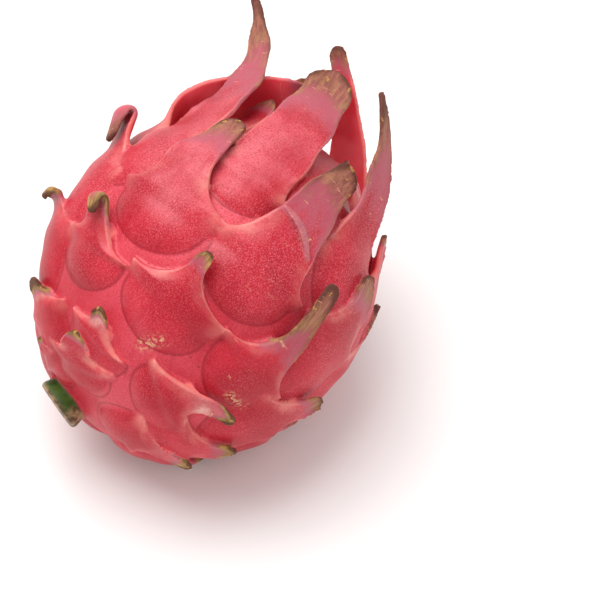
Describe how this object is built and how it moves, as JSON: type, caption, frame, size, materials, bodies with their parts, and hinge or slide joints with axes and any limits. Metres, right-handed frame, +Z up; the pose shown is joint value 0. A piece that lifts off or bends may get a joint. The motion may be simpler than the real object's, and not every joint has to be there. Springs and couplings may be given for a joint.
{
  "type": "dragon fruit",
  "caption": "Whole dragon fruit lying on its side: a round body covered in leafy scales, a crown of long bracts and a short cut stem.",
  "frame": {"origin": "middle of the small flat spot that the fruit lies on", "axes": "+X along the fruit from the stem to the crown, +Z up, away from the surface that it lies on"},
  "size_m": [0.1223, 0.0951, 0.0897],
  "materials": {
    "rind": "satin, waxy rind, pink-red with tan and green tips"
  },
  "bodies": {
    "root": {"dragon_fruit": "rind"}
  },
  "joints": []
}
